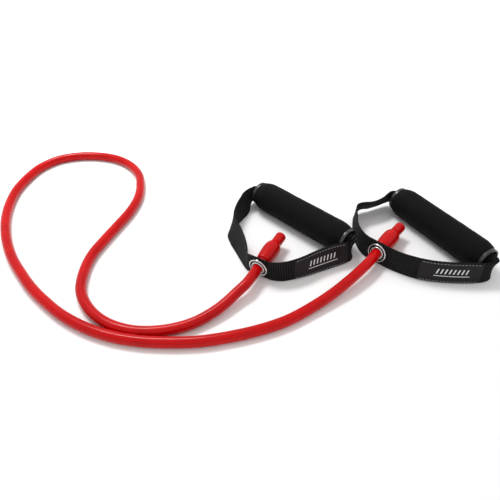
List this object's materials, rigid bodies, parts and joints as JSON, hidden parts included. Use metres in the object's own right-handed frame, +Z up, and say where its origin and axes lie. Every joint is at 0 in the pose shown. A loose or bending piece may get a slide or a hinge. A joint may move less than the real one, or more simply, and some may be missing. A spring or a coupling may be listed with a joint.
{
  "type": "resistance band",
  "caption": "Elastic rubber exercise tube held by stopper plugs in the grommets of webbing handles with foam grips, lying slack in loops on a floor.",
  "frame": {"origin": "bottom centre of the box round the two handles, at the level of the floor that the band lies on", "axes": "+Z up from the floor; +X along the two handles, from the left one to the right one; +Y from the grommets towards the grips"},
  "size_m": [0.5339, 0.3248, 0.0326],
  "materials": {
    "tube_rubber": "satin, smooth red extruded rubber",
    "plug_plastic": "matte black",
    "grommet_metal": "bright nickel plate",
    "webbing": "ribbed black woven webbing",
    "label_fabric": "smooth black satin label",
    "thread": "light grey sewing thread",
    "core_plastic": "black tube",
    "collar_plastic": "glossy black rim",
    "foam": "matte black closed-cell foam"
  },
  "bodies": {
    "tube": {"tube": "tube_rubber", "stopper_plug_left": "plug_plastic", "stopper_plug_right": "plug_plastic"},
    "grommet_left": {"grommet_left": "grommet_metal", "grommet_washer_left": "grommet_metal"},
    "handle_left": {"strap_left": "webbing", "strap_label_left": "label_fabric", "label_stitching_left": "thread"},
    "grip_left": {"grip_core_left": "core_plastic", "core_collar_left_outer": "collar_plastic", "core_collar_left_inner": "collar_plastic", "foam_grip_left": "foam"},
    "grommet_right": {"grommet_right": "grommet_metal", "grommet_washer_right": "grommet_metal"},
    "handle_right": {"strap_right": "webbing", "strap_label_right": "label_fabric", "label_stitching_right": "thread"},
    "grip_right": {"grip_core_right": "core_plastic", "core_collar_right_outer": "collar_plastic", "core_collar_right_inner": "collar_plastic", "foam_grip_right": "foam"}
  },
  "joints": [
    {"name": "left_grommet_slide", "type": "slide", "parent": "tube", "child": "grommet_left", "axis": [0.454, 0.891, 0], "range_m": [-0.01, 0.002]},
    {"name": "left_handle_swivel", "type": "hinge", "parent": "grommet_left", "child": "handle_left", "pos_m": [-0.1012, -0.0593, 0.0127], "axis": [0.527, 0.8434, 0.1045], "range_deg": [-110, 110]},
    {"name": "left_grip_spin", "type": "hinge", "parent": "handle_left", "child": "grip_left", "pos_m": [-0.0536, 0.0194, 0.0163], "axis": [0.7083, -0.7059, 0], "continuous": true},
    {"name": "right_grommet_slide", "type": "slide", "parent": "tube", "child": "grommet_right", "axis": [0.6157, 0.788, 0], "range_m": [-0.001, 0.0035]},
    {"name": "right_handle_swivel", "type": "hinge", "parent": "grommet_right", "child": "handle_right", "pos_m": [0.0197, -0.0376, 0.0127], "axis": [0.693, 0.7176, -0.0698], "range_deg": [-110, 110]},
    {"name": "right_grip_spin", "type": "hinge", "parent": "handle_right", "child": "grip_right", "pos_m": [0.0922, -0.0013, 0.0163], "axis": [0.512, -0.859, 0], "continuous": true}
  ]
}
